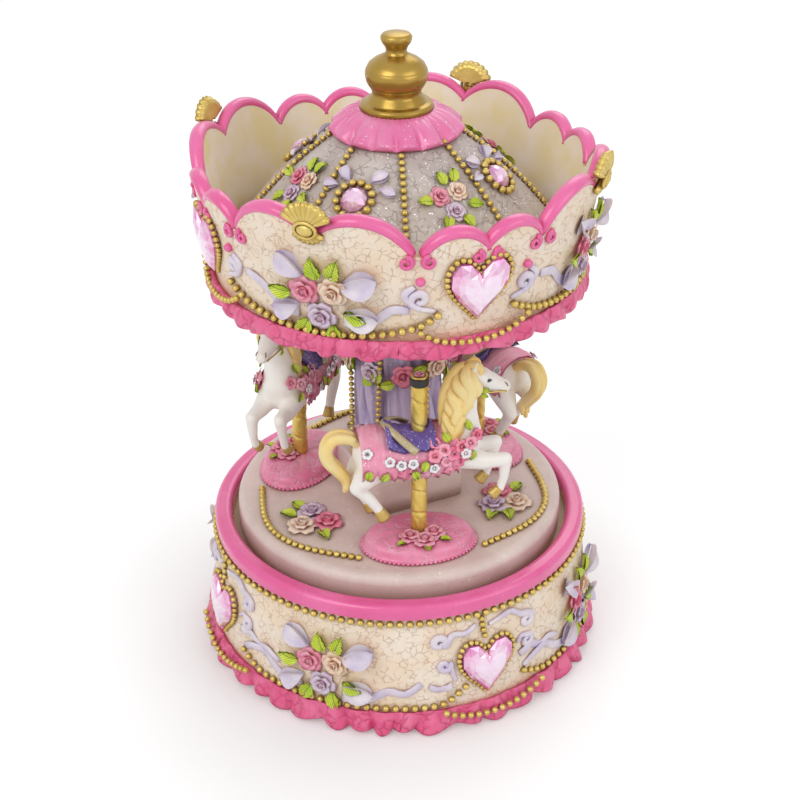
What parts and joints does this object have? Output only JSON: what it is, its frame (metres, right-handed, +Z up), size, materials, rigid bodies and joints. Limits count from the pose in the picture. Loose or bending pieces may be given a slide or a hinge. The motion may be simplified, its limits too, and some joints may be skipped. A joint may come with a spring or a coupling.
{
  "type": "carousel music box",
  "caption": "Free-standing carousel music box: round ornamented base with a wind-up movement turns a platform of horses under a lobed canopy with a domed roof.",
  "frame": {"origin": "on the floor, under the turning axis, at the middle of the base", "axes": "+Z up along the turning axis; -Y is the front that the picture shows, +X to its right"},
  "size_m": [0.1108, 0.1108, 0.1655],
  "materials": {
    "cream_resin": "satin crackle paint on cast resin",
    "pink_resin": "gloss paint on cast resin",
    "gold_trim": "antique gold paint",
    "gem_acrylic": "clear tinted acrylic",
    "rose_resin": "painted resin",
    "leaf_resin": "painted resin",
    "lilac_resin": "satin glitter paint on cast resin",
    "horse_resin": "painted resin",
    "gold_pole": "polished",
    "black_plastic": "moulded",
    "cast_frame": "die cast",
    "steel": "plain",
    "brass": "machined",
    "governor_plastic": "moulded"
  },
  "bodies": {
    "base": {"base_shell": "cream_resin", "base_rim": "pink_resin", "base_ruffle": "pink_resin", "base_bead_strings": "gold_trim", "base_heart_gems": "gem_acrylic", "base_roses": "rose_resin", "base_leaves": "leaf_resin", "bottom_plate": "black_plastic", "plate_screws": "steel", "movement_screws": "steel", "movement_bedplate": "cast_frame", "comb": "steel", "comb_screws": "steel", "governor_bracket": "steel", "shaft_bush": "brass"},
    "carousel": {"barrel_cap": "brass", "canopy_bead_string": "gold_trim", "canopy_ceiling": "lilac_resin", "canopy_crown": "cream_resin", "canopy_ruffle": "pink_resin", "column": "lilac_resin", "crown_heart_gems": "gem_acrylic", "crown_leaves": "leaf_resin", "crown_roses": "rose_resin", "crown_shells": "gold_trim", "drive_shaft": "steel", "finial": "gold_trim", "horse_front": "horse_resin", "horse_left": "horse_resin", "horse_right": "horse_resin", "mainspring": "steel", "plinth_front": "pink_resin", "plinth_left": "pink_resin", "plinth_right": "pink_resin", "pole_front": "gold_pole", "pole_left": "gold_pole", "pole_right": "gold_pole", "roof": "lilac_resin", "roof_collar": "pink_resin", "roof_gem_bezels": "gold_trim", "roof_gems": "gem_acrylic", "roof_ribs": "gold_trim", "roof_roses": "rose_resin", "spring_barrel": "brass", "turntable": "lilac_resin", "turntable_bead_arcs": "gold_trim", "turntable_leaves": "leaf_resin", "turntable_roses": "rose_resin"},
    "key": {"winding_arbor": "steel", "winding_key": "steel"},
    "cylinder": {"pinned_cylinder": "brass", "cylinder_pinion": "brass", "cylinder_wheel": "brass"},
    "governor_wheel": {"governor_wheel": "brass"},
    "governor_fan": {"governor_worm": "brass", "governor_fan": "governor_plastic"}
  },
  "joints": [
    {"name": "carousel_spin", "type": "hinge", "parent": "base", "child": "carousel", "pos_m": [0, 0, 0], "axis": [0, 0, 1], "continuous": true},
    {"name": "key_spin", "type": "hinge", "parent": "base", "child": "key", "pos_m": [0, 0, 0], "axis": [0, 0, 1], "continuous": true},
    {"name": "cylinder_spin", "type": "hinge", "parent": "base", "child": "cylinder", "pos_m": [0, 0, 0.02178], "axis": [1, 0, 0], "continuous": true},
    {"name": "governor_wheel_spin", "type": "hinge", "parent": "base", "child": "governor_wheel", "pos_m": [0, 0.009, 0.02178], "axis": [1, 0, 0], "continuous": true},
    {"name": "governor_fan_spin", "type": "hinge", "parent": "base", "child": "governor_fan", "pos_m": [0.03642, 0.0151, 0], "axis": [0, 0, 1], "continuous": true}
  ],
  "couplings": [
    {"joint": "cylinder_spin", "follows": "carousel_spin", "ratio": 4},
    {"joint": "governor_wheel_spin", "follows": "carousel_spin", "ratio": -8},
    {"joint": "governor_fan_spin", "follows": "carousel_spin", "ratio": 160}
  ]
}
